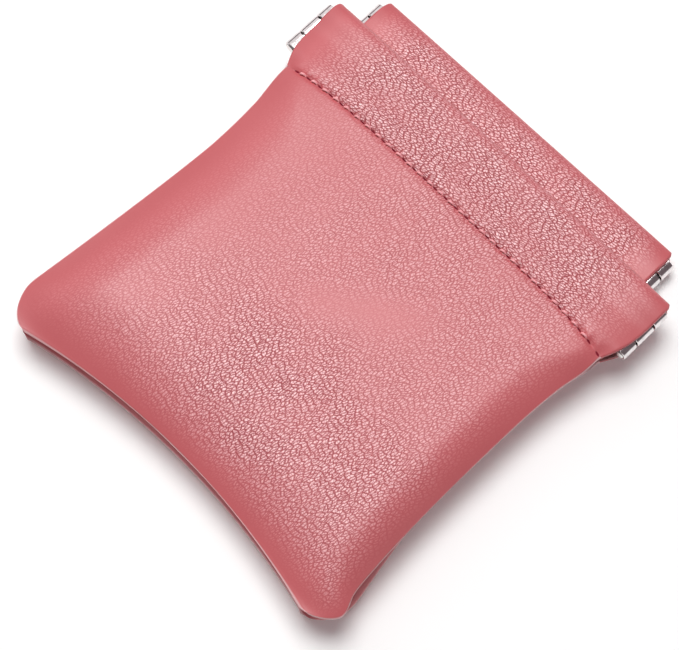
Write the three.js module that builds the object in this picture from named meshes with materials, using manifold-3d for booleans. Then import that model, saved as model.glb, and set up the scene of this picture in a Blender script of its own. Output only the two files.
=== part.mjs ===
// Two-pocket squeeze pouch for jewelry, lying on its back with its mouths towards +Y.
// Each pocket has two leather walls. The hem at the top of a wall is a tunnel for one strip of a
// spring frame, and the two strips of a frame are joined at their ends by knuckles and a pin.
// Sizes are in millimetres. +X runs along the mouths and +Z points up, out of the front wall.

import * as THREE from 'three';
import { mergeVertices } from 'three/addons/utils/BufferGeometryUtils.js';
import Module from 'manifold-3d';

const wasm = await Module();
wasm.setup();

// Leather and the clearance between neighbouring pieces
const LEATHER_THICKNESS = 0.8;
const FIT_GAP = 0.3;

// Spring frames: the distance between the two pins of a frame, and its strips
const FRONT_PIN_SPACING = 88.9;
const REAR_PIN_SPACING = 76.2;
const STRIP_WIDTH = 12;
const STRIP_THICKNESS = 0.4;
const STRIP_PLAY = 0.25;
const STRIP_INSET = 1.6;
const KNUCKLE_LENGTH = 3.4;
const PIN_DIAMETER = 1.9;

// Hems: depths are measured from the fold at the mouth
const STITCH_DEPTH = 16.8;
const HEM_MARGIN = 1.5;
const MIDDLE_GAP = 1.5;
const THREAD_WIDTH = 0.6;
const THREAD_HEIGHT = 0.3;
const THREAD_END_MARGIN = 2;

// Pockets: the pouch's length from the front pocket's bottom corners to the rear fold, and how far
// the front fold and the rear pocket's bottom corners stay back from these
const POUCH_LENGTH = 99.2;
const FOLD_OFFSET = 9;
const CORNER_OFFSET = 0.7;
const STACK_GAP = 0.9;

// Outline of the walls: full widths at the hem, at the waist and at the bottom corners, the
// waist's depth below the fold and how far the bottom edge is drawn in between its corners
const FRONT_HEM_WIDTH = 84.4;
const FRONT_WAIST_WIDTH = 81;
const FRONT_WAIST_DEPTH = 32;
const FRONT_BOTTOM_WIDTH = 88.4;
const FRONT_BOTTOM_SAG = 4.6;
const REAR_HEM_WIDTH = 72.6;
const REAR_WAIST_WIDTH = 74;
const REAR_WAIST_DEPTH = 30;
const REAR_BOTTOM_WIDTH = 88;
const REAR_BOTTOM_SAG = 3.9;
const CORNER_RADIUS = 6.5;

// Height to which the front wall swells, and the width of the border over which every wall does
const FRONT_SWELL_HEIGHT = 3.6;
const SWELL_WIDTH = 14;

// Counts that only set how fine the curved faces are, and the power that crowds a wall's rows
// towards its bottom corners
const WALL_COLUMNS = 20;
const WALL_ROWS = 18;
const ROW_CROWDING = 1.5;
const ROUND_SEGMENTS = 20;

// Sizes that follow from the ones above
const HEM_DEPTH = STITCH_DEPTH + HEM_MARGIN;
const TUNNEL_HEIGHT = STRIP_THICKNESS + 2 * STRIP_PLAY;
const LIP_THICKNESS = 2 * LEATHER_THICKNESS + TUNNEL_HEIGHT;
const LIP_RISE = LIP_THICKNESS - LEATHER_THICKNESS;
const HALF_GAP = FIT_GAP / 2;
const KNUCKLE_RADIUS = HALF_GAP + LEATHER_THICKNESS + STRIP_PLAY + STRIP_THICKNESS;
const BORE_RADIUS = KNUCKLE_RADIUS - STRIP_THICKNESS;

// Heights of the two frames' middle planes: the back hem clears the table by its stitches
const REAR_PLANE = THREAD_HEIGHT + FIT_GAP + LIP_THICKNESS + HALF_GAP;
const FRONT_PLANE = REAR_PLANE + 2 * (LIP_THICKNESS + HALF_GAP) + STACK_GAP;
const BACK_SWELL_HEIGHT = REAR_PLANE - HALF_GAP - LEATHER_THICKNESS;
const REAR_DIVIDER_SWELL_HEIGHT = LIP_RISE + STACK_GAP - THREAD_HEIGHT - FIT_GAP;

// pairSide is the side, left (-1) or right (+1), on which a frame's upper strip has two knuckles
const front = {
  plane: FRONT_PLANE,
  pinX: FRONT_PIN_SPACING / 2,
  pairSide: -1,
  bottomY: -POUCH_LENGTH / 2,
  foldY: POUCH_LENGTH / 2 - FOLD_OFFSET,
  hemWidth: FRONT_HEM_WIDTH,
  waistWidth: FRONT_WAIST_WIDTH,
  waistDepth: FRONT_WAIST_DEPTH,
  bottomWidth: FRONT_BOTTOM_WIDTH,
  bottomSag: FRONT_BOTTOM_SAG,
};

const rear = {
  plane: REAR_PLANE,
  pinX: REAR_PIN_SPACING / 2,
  pairSide: 1,
  bottomY: -POUCH_LENGTH / 2 + CORNER_OFFSET,
  foldY: POUCH_LENGTH / 2,
  hemWidth: REAR_HEM_WIDTH,
  waistWidth: REAR_WAIST_WIDTH,
  waistDepth: REAR_WAIST_DEPTH,
  bottomWidth: REAR_BOTTOM_WIDTH,
  bottomSag: REAR_BOTTOM_SAG,
};

// Each wall lies above (+1) or below (-1) the middle plane of its pocket
const walls = [
  { name: 'front_wall', pocket: front, up: 1, swellHeight: FRONT_SWELL_HEIGHT },
  { name: 'front_divider', pocket: front, up: -1, swellHeight: LIP_RISE },
  { name: 'rear_divider', pocket: rear, up: 1, swellHeight: REAR_DIVIDER_SWELL_HEIGHT },
  { name: 'back_wall', pocket: rear, up: -1, swellHeight: BACK_SWELL_HEIGHT },
];

const sides = [
  { name: 'left', sign: -1 },
  { name: 'right', sign: 1 },
];

const leather = new THREE.MeshStandardMaterial({ color: 0xcd7378, roughness: 0.5, metalness: 0 });
const thread = new THREE.MeshStandardMaterial({ color: 0xdb8f92, roughness: 0.7, metalness: 0 });
const steel = new THREE.MeshStandardMaterial({ color: 0xc9cacc, roughness: 0.22, metalness: 1 });

const pouch = new THREE.Group();

function addPiece(name, geometry, material) {
  const mesh = new THREE.Mesh(geometry, material);
  mesh.name = name;
  pouch.add(mesh);
  return mesh;
}

// A shape drawn in (Y, Z) and extruded along +X from xStart over the given length
function extrudeAlongX(shape, xStart, length) {
  const geometry = new THREE.ExtrudeGeometry(shape, {
    depth: length,
    bevelEnabled: false,
    curveSegments: ROUND_SEGMENTS / 2,
  });
  const turn = new THREE.Matrix4().makeBasis(
    new THREE.Vector3(0, 1, 0),
    new THREE.Vector3(0, 0, 1),
    new THREE.Vector3(1, 0, 0),
  );
  geometry.applyMatrix4(turn);
  geometry.translate(xStart, 0, 0);
  return geometry;
}

// A shape drawn in (X, Z) and extruded along -Y from yEnd over the given length
function extrudeAlongY(shape, yEnd, length) {
  const geometry = new THREE.ExtrudeGeometry(shape, { depth: length, bevelEnabled: false });
  const turn = new THREE.Matrix4().makeBasis(
    new THREE.Vector3(1, 0, 0),
    new THREE.Vector3(0, 0, 1),
    new THREE.Vector3(0, -1, 0),
  );
  geometry.applyMatrix4(turn);
  geometry.translate(0, yEnd, 0);
  return geometry;
}

function solidFrom(geometry) {
  geometry.deleteAttribute('normal');
  geometry.deleteAttribute('uv');
  const merged = mergeVertices(geometry);
  return new wasm.Manifold(new wasm.Mesh({
    numProp: 3,
    vertProperties: merged.attributes.position.array,
    triVerts: new Uint32Array(merged.index.array),
  }));
}

function geometryFrom(solid) {
  const mesh = solid.getMesh();
  const geometry = new THREE.BufferGeometry();
  geometry.setAttribute('position', new THREE.BufferAttribute(mesh.vertProperties, mesh.numProp));
  geometry.setIndex(new THREE.BufferAttribute(mesh.triVerts, 1));
  geometry.computeVertexNormals();
  return geometry;
}

function smooth(share) {
  const t = THREE.MathUtils.clamp(share, 0, 1);
  return t * t * (3 - 2 * t);
}

// Half the width of a pocket at a place y: from the hem in to the waist, out to the bottom
// corners, which stand out like the ears of a pillow, and round each corner
function halfWidth(pocket, y) {
  const depth = pocket.foldY - y;
  const aboveBottom = y - pocket.bottomY;
  const toWaist = smooth((depth - HEM_DEPTH) / (pocket.waistDepth - HEM_DEPTH));
  const cornerDepth = pocket.foldY - pocket.bottomY - CORNER_RADIUS;
  const pastWaist = (depth - pocket.waistDepth) / (cornerDepth - pocket.waistDepth);
  const toCorner = THREE.MathUtils.clamp(pastWaist, 0, 1) ** 3;
  const upper = THREE.MathUtils.lerp(pocket.hemWidth, pocket.waistWidth, toWaist);
  const full = upper + (pocket.bottomWidth - pocket.waistWidth) * toCorner;
  const inCorner = Math.max(CORNER_RADIUS - aboveBottom, 0);
  const cornerLoss = CORNER_RADIUS - Math.sqrt(CORNER_RADIUS ** 2 - inCorner ** 2);
  return full / 2 - cornerLoss;
}

// A point of a wall. across runs from -1 to 1 between the side seams and along from 0 at the
// bottom seam to 1 at the hem. The wall's inner face lies on the pocket's middle plane at the
// seams, rises to its swell height over the border and ends level with the hem's outer layer.
function wallPoint(wall, across, along) {
  const { pocket, up } = wall;
  const length = pocket.foldY - HEM_DEPTH - FIT_GAP - pocket.bottomY;
  const straightY = pocket.bottomY + length * along;
  const half = halfWidth(pocket, straightY);
  const sideSwell = 1 - Math.max(1 - ((1 - Math.abs(across)) * half) / SWELL_WIDTH, 0) ** 2;
  const bottomSwell = 1 - Math.max(1 - (length * along) / SWELL_WIDTH, 0) ** 2;
  const awayFromHem = smooth((length * (1 - along)) / SWELL_WIDTH);
  const height = THREE.MathUtils.lerp(LIP_RISE, wall.swellHeight, awayFromHem);
  const innerZ = pocket.plane + up * (HALF_GAP + height * sideSwell * bottomSwell);
  return {
    x: across * half,
    y: straightY + pocket.bottomSag * (1 - across ** 2) * (1 - along) ** 2,
    innerZ,
    outerZ: innerZ + up * LEATHER_THICKNESS,
  };
}

// The wall below its hem: a thin domed sheet, made as two grids of points joined round the rim
function wallGeometry(wall) {
  const upperKey = wall.up > 0 ? 'outerZ' : 'innerZ';
  const lowerKey = wall.up > 0 ? 'innerZ' : 'outerZ';
  const positions = [];
  for (const key of [upperKey, lowerKey]) {
    for (let row = 0; row <= WALL_ROWS; row += 1) {
      for (let column = 0; column <= WALL_COLUMNS; column += 1) {
        const across = (2 * column) / WALL_COLUMNS - 1;
        const point = wallPoint(wall, across, (row / WALL_ROWS) ** ROW_CROWDING);
        positions.push(point.x, point.y, point[key]);
      }
    }
  }
  const stride = WALL_COLUMNS + 1;
  const lowerStart = stride * (WALL_ROWS + 1);
  const faces = [];
  for (let row = 0; row < WALL_ROWS; row += 1) {
    for (let column = 0; column < WALL_COLUMNS; column += 1) {
      const a = row * stride + column;
      const b = a + 1;
      const c = b + stride;
      const d = a + stride;
      faces.push(a, b, c, a, c, d);
      faces.push(lowerStart + a, lowerStart + c, lowerStart + b);
      faces.push(lowerStart + a, lowerStart + d, lowerStart + c);
    }
  }
  const rim = [];
  for (let column = 0; column < WALL_COLUMNS; column += 1) rim.push(column);
  for (let row = 0; row < WALL_ROWS; row += 1) rim.push(row * stride + WALL_COLUMNS);
  for (let column = WALL_COLUMNS; column > 0; column -= 1) rim.push(WALL_ROWS * stride + column);
  for (let row = WALL_ROWS; row > 0; row -= 1) rim.push(row * stride);
  rim.forEach((from, index) => {
    const to = rim[(index + 1) % rim.length];
    faces.push(lowerStart + from, lowerStart + to, to);
    faces.push(lowerStart + from, to, from);
  });
  const geometry = new THREE.BufferGeometry();
  geometry.setAttribute('position', new THREE.Float32BufferAttribute(positions, 3));
  geometry.setIndex(faces);
  geometry.computeVertexNormals();
  return geometry;
}

// Cross-section of a hem: leather folded round the strip's tunnel, open at both ends
function hemSection(pocket, up) {
  const innerZ = pocket.plane + up * HALF_GAP;
  const outerZ = innerZ + up * LIP_THICKNESS;
  const hemY = pocket.foldY - HEM_DEPTH;
  const foldRadius = LIP_THICKNESS / 2;
  const section = new THREE.Shape();
  section.moveTo(hemY, innerZ);
  section.lineTo(pocket.foldY - foldRadius, innerZ);
  const centreY = pocket.foldY - foldRadius;
  const centreZ = (innerZ + outerZ) / 2;
  section.absarc(centreY, centreZ, foldRadius, (-up * Math.PI) / 2, (up * Math.PI) / 2, up < 0);
  section.lineTo(hemY, outerZ);
  section.closePath();

  const tunnelEndY = pocket.foldY - STRIP_INSET - STRIP_WIDTH - STRIP_PLAY;
  const tunnelRadius = TUNNEL_HEIGHT / 2;
  const tunnelStartY = pocket.foldY - LEATHER_THICKNESS - tunnelRadius;
  const tunnel = new THREE.Path();
  tunnel.moveTo(tunnelEndY, centreZ - tunnelRadius);
  tunnel.lineTo(tunnelStartY, centreZ - tunnelRadius);
  tunnel.absarc(tunnelStartY, centreZ, tunnelRadius, -Math.PI / 2, Math.PI / 2, false);
  tunnel.lineTo(tunnelEndY, centreZ + tunnelRadius);
  tunnel.closePath();
  section.holes.push(tunnel);
  return section;
}

// Where a lip half starts beside the middle of the mouth, and where it stops short of the knuckles
function lipSpan(pocket) {
  const start = MIDDLE_GAP / 2;
  const end = pocket.pinX - KNUCKLE_RADIUS - FIT_GAP;
  return { start, end, length: end - start };
}

function hemGeometry(wall, side) {
  const { start, end, length } = lipSpan(wall.pocket);
  const xStart = side.sign > 0 ? start : -end;
  return extrudeAlongX(hemSection(wall.pocket, wall.up), xStart, length);
}

// The row of stitches that closes the tunnel, on the outer face of the hem
function stitchGeometry(wall, side) {
  const { pocket, up } = wall;
  const span = lipSpan(pocket);
  const length = span.length - 2 * THREAD_END_MARGIN;
  const outerZ = pocket.plane + up * (HALF_GAP + LIP_THICKNESS);
  const geometry = new THREE.BoxGeometry(length, THREAD_WIDTH, THREAD_HEIGHT);
  geometry.translate(
    (side.sign * (span.start + span.end)) / 2,
    pocket.foldY - STITCH_DEPTH,
    outerZ + (up * THREAD_HEIGHT) / 2,
  );
  return geometry;
}

// Profile of a strip's rolled end, in (X, Z): a tongue that runs off the strip into a full ring
function knuckleProfile(pocket, side, up) {
  const { sign } = side;
  const { plane, pinX } = pocket;
  const tongueStart = pinX - KNUCKLE_RADIUS - FIT_GAP - STRIP_THICKNESS;
  const meetAngle = Math.PI - Math.asin(BORE_RADIUS / KNUCKLE_RADIUS);
  const startAngle = Math.PI / 2;
  const sweep = 2 * Math.PI + startAngle - meetAngle;
  const profile = new THREE.Shape();
  profile.moveTo(sign * tongueStart, plane + up * BORE_RADIUS);
  profile.lineTo(sign * tongueStart, plane + up * KNUCKLE_RADIUS);
  for (let step = 0; step <= ROUND_SEGMENTS; step += 1) {
    const angle = startAngle - (sweep * step) / ROUND_SEGMENTS;
    profile.lineTo(
      sign * (pinX + KNUCKLE_RADIUS * Math.cos(angle)),
      plane + up * KNUCKLE_RADIUS * Math.sin(angle),
    );
  }
  profile.closePath();
  const bore = new THREE.Path();
  for (let step = 0; step < ROUND_SEGMENTS; step += 1) {
    const angle = (2 * Math.PI * (step + 0.5)) / ROUND_SEGMENTS;
    const x = sign * pinX + BORE_RADIUS * Math.cos(angle);
    const z = plane + BORE_RADIUS * Math.sin(angle);
    if (step === 0) bore.moveTo(x, z);
    else bore.lineTo(x, z);
  }
  bore.closePath();
  profile.holes.push(bore);
  return profile;
}

// Half of a spring strip. Every strip ends in two knuckles with a slot between them on one side,
// and in one knuckle that fits such a slot on the other. The lower strip of a frame lies the
// other way round, so that the two mesh on both sides.
function stripGeometry(wall, side) {
  const { pocket, up } = wall;
  const { start, length } = lipSpan(pocket);
  const stripTopY = pocket.foldY - STRIP_INSET;
  const plate = new THREE.BoxGeometry(length, STRIP_WIDTH, STRIP_THICKNESS);
  plate.translate(
    side.sign * (start + length / 2),
    stripTopY - STRIP_WIDTH / 2,
    pocket.plane + up * (KNUCKLE_RADIUS - STRIP_THICKNESS / 2),
  );
  const slotLength = STRIP_WIDTH - 2 * KNUCKLE_LENGTH;
  const pair = [
    [stripTopY, KNUCKLE_LENGTH],
    [stripTopY - KNUCKLE_LENGTH - slotLength, KNUCKLE_LENGTH],
  ];
  const single = [[stripTopY - KNUCKLE_LENGTH - FIT_GAP, slotLength - 2 * FIT_GAP]];
  const knuckles = up * side.sign === pocket.pairSide ? pair : single;
  let strip = solidFrom(plate);
  for (const [yEnd, knuckleLength] of knuckles) {
    const knuckle = extrudeAlongY(knuckleProfile(pocket, side, up), yEnd, knuckleLength);
    strip = strip.add(solidFrom(knuckle));
  }
  return geometryFrom(strip);
}

function pinGeometry(pocket, side) {
  const radius = PIN_DIAMETER / 2;
  const geometry = new THREE.CylinderGeometry(radius, radius, STRIP_WIDTH, ROUND_SEGMENTS);
  geometry.translate(
    side.sign * pocket.pinX,
    pocket.foldY - STRIP_INSET - STRIP_WIDTH / 2,
    pocket.plane,
  );
  return geometry;
}

for (const wall of walls) {
  addPiece(wall.name, wallGeometry(wall), leather);
  for (const side of sides) {
    addPiece(`${wall.name}_hem_${side.name}`, hemGeometry(wall, side), leather);
    addPiece(`${wall.name}_stitches_${side.name}`, stitchGeometry(wall, side), thread);
    addPiece(`${wall.name}_strip_${side.name}`, stripGeometry(wall, side), steel);
  }
}

for (const side of sides) {
  addPiece(`front_pin_${side.name}`, pinGeometry(front, side), steel);
  addPiece(`rear_pin_${side.name}`, pinGeometry(rear, side), steel);
}

export default pouch;
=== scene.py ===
# %% [markdown]
# # A squeeze pouch for jewelry
# The pouch is two flat pockets of soft pebbled leather, one on the other. Each pocket is held shut
# by a spring frame: two steel strips in the hems at its mouth, joined at their ends by rolled
# knuckles and a pin. The CAD model gives every place and size. Here the plain solids are dressed:
# leather that swells and dips, real stitches, rolled steel, and the light of a product photograph.

# %% Load the frame
import math

import bpy
import numpy as np
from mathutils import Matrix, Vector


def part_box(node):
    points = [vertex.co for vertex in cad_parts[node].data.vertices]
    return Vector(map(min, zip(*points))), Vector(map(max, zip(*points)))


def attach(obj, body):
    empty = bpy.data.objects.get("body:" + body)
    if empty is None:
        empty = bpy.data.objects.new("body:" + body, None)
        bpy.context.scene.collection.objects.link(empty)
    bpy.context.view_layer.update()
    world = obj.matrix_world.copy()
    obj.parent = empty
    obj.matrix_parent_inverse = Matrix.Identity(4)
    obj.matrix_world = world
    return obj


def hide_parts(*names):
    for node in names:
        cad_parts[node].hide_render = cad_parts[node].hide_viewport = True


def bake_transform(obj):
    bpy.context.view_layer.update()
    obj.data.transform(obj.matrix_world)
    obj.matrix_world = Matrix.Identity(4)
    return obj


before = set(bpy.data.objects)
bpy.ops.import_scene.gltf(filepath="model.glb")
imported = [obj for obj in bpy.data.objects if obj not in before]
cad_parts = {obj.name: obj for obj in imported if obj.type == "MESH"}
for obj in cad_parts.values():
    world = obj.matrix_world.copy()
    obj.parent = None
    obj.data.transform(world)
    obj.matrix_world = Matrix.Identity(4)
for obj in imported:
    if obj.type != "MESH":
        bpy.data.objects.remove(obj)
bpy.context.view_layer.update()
MM = 0.001

# %% [markdown]
# ## Sizes that come from the frame
# A pocket lies about its own middle plane, which runs through its hinge pins. The boxes of the pins
# and hems say where that plane is, where the mouth is folded and where the bottom corners lie, so
# the leather follows the CAD model if a size changes there.


# %% Read the two pockets
def read_pocket(upper_wall, pin):
    """Places of one pocket, from the boxes of its upper hem, its upper wall and its right pin."""
    hem_low, hem_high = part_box(upper_wall + "_hem_right")
    pin_low, pin_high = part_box(pin)
    wall_low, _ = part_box(upper_wall)
    plane = (pin_low.z + pin_high.z) / 2
    return {
        "plane": plane,
        "pin_x": (pin_low.x + pin_high.x) / 2,
        "pin_low_y": pin_low.y,
        "pin_high_y": pin_high.y,
        "fold_y": hem_high.y,
        "bottom_y": wall_low.y,
        "half_gap": hem_low.z - plane,
        "hem_height": hem_high.z - plane,
        "lip_start": hem_low.x,
    }


front = read_pocket("front_wall", "front_pin_right")
rear = read_pocket("rear_divider", "rear_pin_right")
for name, pocket in (("front", front), ("rear", rear)):
    print(name, {key: round(value / MM, 2) for key, value in pocket.items()})

# %% [markdown]
# ## The outline of the leather
# A sewn and turned bag is drawn in at its sides and its bottom edge, and its corners stand out like
# the ears of a pillow. Above the stitches the hem is a sleeve, which bows out over the hinges.
# Nothing made of soft leather is quite even: each ear has its own shape, and the mouths lie a little
# to one side of the bottom seam. The widths below are half widths, from the middle to an edge.

# %% Outline of a pocket
LEATHER = 0.8 * MM
STITCH_DEPTH = 15.3 * MM
STITCH_ARCH = 1.9 * MM
EAR_HEIGHT = 9 * MM
EAR_REACH_SHARE = 1.06
FLARE_HEIGHT = 4.5 * MM
FLARE_WIDTH = 3 * MM
SLEEVE_POWER = 4.2
DRIFT_LENGTH = 85 * MM

front.update(
    bottom_y=front["bottom_y"] - 0.55 * MM,
    row_half=42.2 * MM,
    waist_half=40.6 * MM,
    waist_depth=38.5 * MM,
    bottom_sag=4.6 * MM,
    fold_half=44.7 * MM,
    ears={
        -1: dict(spread=3.1 * MM, power=1.35, flare=0, draw=6.5 * MM, rise=9 * MM),
        1: dict(spread=1.8 * MM, power=2.6, flare=1.3 * MM, draw=5.5 * MM, rise=5 * MM),
    },
    drift=(0.55 * MM, 0, 0),
    steel_drift=(0, 0, 0),
    pair_side=-1,
)
rear.update(
    pin_x=rear["pin_x"] + 0.5 * MM,
    bottom_y=rear["bottom_y"] - 0.9 * MM,
    row_half=37.4 * MM,
    waist_half=37.2 * MM,
    waist_depth=30 * MM,
    bottom_sag=4.3 * MM,
    fold_half=38.4 * MM,
    ears={
        -1: dict(spread=5.6 * MM, power=2, flare=0, draw=5.5 * MM, rise=8 * MM),
        1: dict(spread=5.8 * MM, power=2, flare=0, draw=6.5 * MM, rise=10 * MM),
    },
    drift=(-1.1 * MM, 0.75 * MM, 0.012),
    steel_drift=(-1.1 * MM, 0.75 * MM, 0.012),
    pair_side=1,
)


def smooth(share):
    """The S-curve 3t^2 - 2t^3 from 0 to 1."""
    t = np.clip(share, 0, 1)
    return t * t * (3 - 2 * t)


def bump(distance, width):
    """A bell curve of height 1, that many metres wide to each side."""
    return np.exp(-((distance / width) ** 2))


def body_half_width(pocket, y, sign):
    """From the stitches in to the waist, out to the ear by a power of the depth, with a flare close
    to the bottom, and round the corner by a quarter of an ellipse."""
    ear = pocket["ears"][sign]
    depth = pocket["fold_y"] - y
    above_bottom = y - pocket["bottom_y"]
    waist = pocket["waist_depth"]
    neck = np.clip((depth - STITCH_DEPTH - STITCH_ARCH) / (waist - STITCH_DEPTH - STITCH_ARCH), 0, 1)
    length = pocket["fold_y"] - pocket["bottom_y"]
    out = np.clip((depth - waist) / (length - EAR_HEIGHT - waist), 0, EAR_REACH_SHARE)
    full = pocket["waist_half"] + (pocket["row_half"] - pocket["waist_half"]) * (1 - neck) ** 2
    full = full + ear["spread"] * out ** ear["power"]
    full = full + ear["flare"] * bump(above_bottom - FLARE_HEIGHT, FLARE_WIDTH)
    in_corner = np.clip(1 - above_bottom / ear["rise"], 0, 1)
    return full - ear["draw"] * (1 - np.sqrt(1 - in_corner**2))


def sleeve_half_width(pocket, share):
    """From the stitches (share 0) out over the hinges to the fold (share 1): the difference of the
    two half widths grows as one less a high power of 1 - share, so it is quick at first."""
    grown = 1 - (1 - share) ** SLEEVE_POWER
    return pocket["row_half"] + (pocket["fold_half"] - pocket["row_half"]) * grown


def settle(x, y, pocket, drift):
    """Moves points sideways, lengthways and round by a drift that grows from nothing at the bottom
    seam as an S-curve."""
    grown = smooth((y - pocket["bottom_y"]) / DRIFT_LENGTH)
    return x + drift[0] * grown, y + (drift[1] + drift[2] * x) * grown


print("waist", round(body_half_width(front, front["fold_y"] - front["waist_depth"], 1) / MM, 2), "mm")

# %% [markdown]
# ## One wall as a sheet that is bent into shape
# Each wall is one cut piece of leather. It starts at the bottom seam, runs up over the pocket to the
# stitches and over the hem, turns round the fold at the mouth, and comes back inside as the hem's
# second ply. So the wall is a surface of two parameters: a share across, from -1 to 1, and rows
# along this path. It could be modelled by pushing vertices about, but a formula keeps both pockets
# alike and lets the swelling, the groove at the stitches and the puckers be set in millimetres.

# %% The four walls
def all_round(width):
    """The same border at the left, at the right and at the bottom."""
    return (width, width, width)


WALLS = {
    "front_wall": dict(
        pocket=front, up=1, crown=5.4 * MM, border=(12.5 * MM, 8.4 * MM, 16 * MM), inset=(0, 0, 0),
        puff=1.0, arch=0.75 * MM, ridge_depth=2.9 * MM, fold_reach=2.2 * MM,
    ),
    "front_divider": dict(
        pocket=front, up=-1, crown=2.65 * MM, border=all_round(12 * MM),
        inset=(0.9 * MM, 0.5 * MM, 0.9 * MM), puff=0, arch=0, ridge_depth=2.9 * MM, fold_reach=2.2 * MM,
    ),
    "rear_divider": dict(
        pocket=rear, up=1, crown=3.1 * MM, border=all_round(2.8 * MM), inset=(0, 0, 0),
        puff=0.5, arch=0.3 * MM, ridge_depth=4.6 * MM, fold_reach=4.2 * MM,
    ),
    "back_wall": dict(
        pocket=rear, up=-1, crown=3.25 * MM, border=all_round(6 * MM), inset=all_round(0.4 * MM),
        puff=0, arch=0, ridge_depth=4.6 * MM, fold_reach=2.2 * MM,
    ),
}

# %% Slack, swell, groove and arch, which both heights below share
PITCH = 2.8 * MM
GROOVE_DEPTH = 0.45 * MM
GROOVE_WIDTH = 0.5 * MM
NEEDLE_PULL_SHARE = 0.35
ARCH_END = 12 * MM
ARCH_DROP_SHARE = 1.75
SLACK_WAVES = 7
SLACK_SHORT = 16 * MM
SLACK_LONG = 34 * MM


def slack(x, y, size, seed):
    """Soft unevenness of leather: the mean of a few sine waves of random direction and length."""
    random = np.random.default_rng(seed)
    total = np.zeros_like(x)
    for _ in range(SLACK_WAVES):
        angle = random.uniform(0, math.pi)
        wave = 2 * math.pi / random.uniform(SLACK_SHORT, SLACK_LONG)
        phase = random.uniform(0, 2 * math.pi)
        total += np.sin(wave * (x * math.cos(angle) + y * math.sin(angle)) + phase)
    return size * total / SLACK_WAVES


def swell(distance, width):
    """Grows from 0 at a sewn edge to 1 at a width from it, as 1 - (1 - d/w)^2."""
    return 1 - np.clip(1 - distance / width, 0, 1) ** 2


def row_groove(x, from_row):
    """The groove along the stitches, pulled deeper at every needle hole."""
    pull = 1 + NEEDLE_PULL_SHARE * np.cos(2 * math.pi * x / PITCH)
    return GROOVE_DEPTH * bump(from_row, GROOVE_WIDTH) * pull


def mouth_arch(wall, x):
    """The arch of the sprung mouth: level in the middle, and down towards the hinges as a parabola."""
    reach = wall["pocket"]["pin_x"]
    start = reach - ARCH_END
    drop = ARCH_DROP_SHARE * np.clip((np.abs(x) - start) / (reach - start), 0, None) ** 2
    return wall["arch"] * (1 - drop)


# %% Height of the body above its pocket's middle plane
TWO_PLY_REACH = 6 * MM
SWELL_LENGTH = 52 * MM
TUCK_DEPTH = 0.12 * MM
TUCK_LENGTH = 2.0 * MM
BODY_SLACK = 0.14 * MM
BORDER_AT_ROW_SHARE = 0.42
BORDER_GROWTH = 13 * MM


def body_height(wall, x, from_side, from_bottom, below_row, seed):
    """The rim's height, plus a swell over the border from each sewn edge, less a groove at the
    stitches. The side border narrows and the rim grows to two plies at the hem."""
    pocket = wall["pocket"]
    left_border, right_border, bottom_border = wall["border"]
    side_border = np.where(x < 0, left_border, right_border)
    rim = pocket["half_gap"] + LEATHER * (1 + smooth(1 - below_row / TWO_PLY_REACH))
    at_row = pocket["hem_height"] + mouth_arch(wall, x)
    down = np.clip(below_row / SWELL_LENGTH, 0, 1)
    level = at_row + (wall["crown"] - at_row) * (down + smooth(down)) / 2
    level = level - wall["puff"] * TUCK_DEPTH * np.exp(-below_row / TUCK_LENGTH)
    uneven = slack(x, below_row, BODY_SLACK, seed) * smooth(below_row / TWO_PLY_REACH)
    level = level + wall["puff"] * uneven
    grown = smooth(below_row / BORDER_GROWTH)
    width = side_border * (BORDER_AT_ROW_SHARE + (1 - BORDER_AT_ROW_SHARE) * grown)
    side = swell(from_side, width)
    bottom = swell(from_bottom, bottom_border)
    return rim + (level - rim) * side * bottom - row_groove(x, below_row) * side


# %% Height of the hem above its pocket's middle plane
RIDGE_HEIGHT = 0.42 * MM
RIDGE_WIDTH = 2.6 * MM
DIP_DEPTH = 0.32 * MM
DIP_BELOW_RIDGE = 4.6 * MM
WELT_HEIGHT = 0.20 * MM
WELT_ABOVE_ROW = 2.6 * MM
WELT_WIDTH = 1.9 * MM
PUCKER_HEIGHT = 0.10 * MM
PUCKER_ABOVE_ROW = 0.8 * MM
PUCKER_WIDTH = 0.9 * MM
HEM_SLACK = 0.12 * MM
HEM_SLACK_START = 3 * MM
HEM_BORDER = 5 * MM
HEM_CLOSING = 4.5 * MM


def hem_height(wall, x, from_side, above_row, depth, seed):
    """The hem's height: the arch of the mouth, a soft ridge near the fold and another above the
    stitches, with a dip between them over the cross-curved strip, and puckers between the
    stitches. At the stitches the sides go down to two plies."""
    pocket = wall["pocket"]
    rim = pocket["half_gap"] + 2 * LEATHER
    ridge = RIDGE_HEIGHT * bump(depth - wall["ridge_depth"], RIDGE_WIDTH)
    dip = DIP_DEPTH * bump(depth - wall["ridge_depth"] - DIP_BELOW_RIDGE, RIDGE_WIDTH)
    welt = WELT_HEIGHT * bump(above_row - WELT_ABOVE_ROW, WELT_WIDTH)
    wave = np.cos(2 * math.pi * x / PITCH)
    pucker = PUCKER_HEIGHT * bump(above_row - PUCKER_ABOVE_ROW, PUCKER_WIDTH) * wave
    uneven = slack(x, depth, HEM_SLACK, seed + 1) * smooth(above_row / HEM_SLACK_START)
    soft = wall["puff"] * (ridge - dip + welt - pucker + uneven)
    level = pocket["hem_height"] + mouth_arch(wall, x) + soft - row_groove(x, above_row)
    closing = 1 - smooth(above_row / HEM_CLOSING)
    return rim + (level - rim) * (1 - closing * (1 - swell(from_side, HEM_BORDER)))


print("crown of the front wall:", round((front["plane"] + WALLS["front_wall"]["crown"]) / MM, 2), "mm")

# %% [markdown]
# The rows crowd together at the seams and at the stitches, where the leather turns quickly, and
# spread out on the flat. Every point also keeps its place on the flat hide, measured along the
# sheet from the row of stitches, so that grain and needle holes stay put when the wall bends.

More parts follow.
